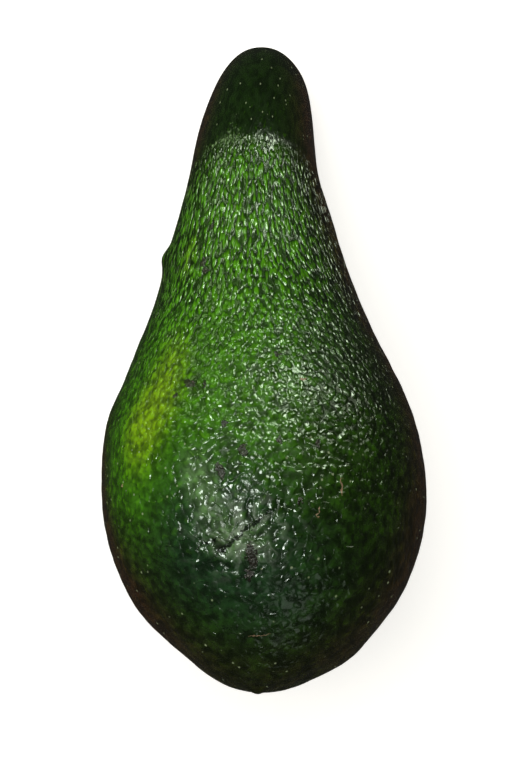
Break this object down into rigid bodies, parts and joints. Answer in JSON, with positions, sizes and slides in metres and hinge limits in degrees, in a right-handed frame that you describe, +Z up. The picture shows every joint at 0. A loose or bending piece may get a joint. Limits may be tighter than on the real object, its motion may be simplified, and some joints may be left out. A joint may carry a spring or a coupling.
{
  "type": "avocado",
  "caption": "Whole long-necked avocado lying on its side, one solid fruit with a pebbled rind, and the dry stump of its stem seated in the neck's end.",
  "frame": {"origin": "on the surface that the fruit lies on, under the middle of its box", "axes": "+Z up, +Y along the fruit toward the neck, +X to the right when seen from the blossom end"},
  "size_m": [0.0678, 0.146, 0.0676],
  "materials": {
    "rind": "waxy pebbled green rind, glossy on the crests",
    "stem_wood": "dry, rough and matt"
  },
  "bodies": {
    "root": {"fruit": "rind", "stem_button": "stem_wood"}
  },
  "joints": []
}
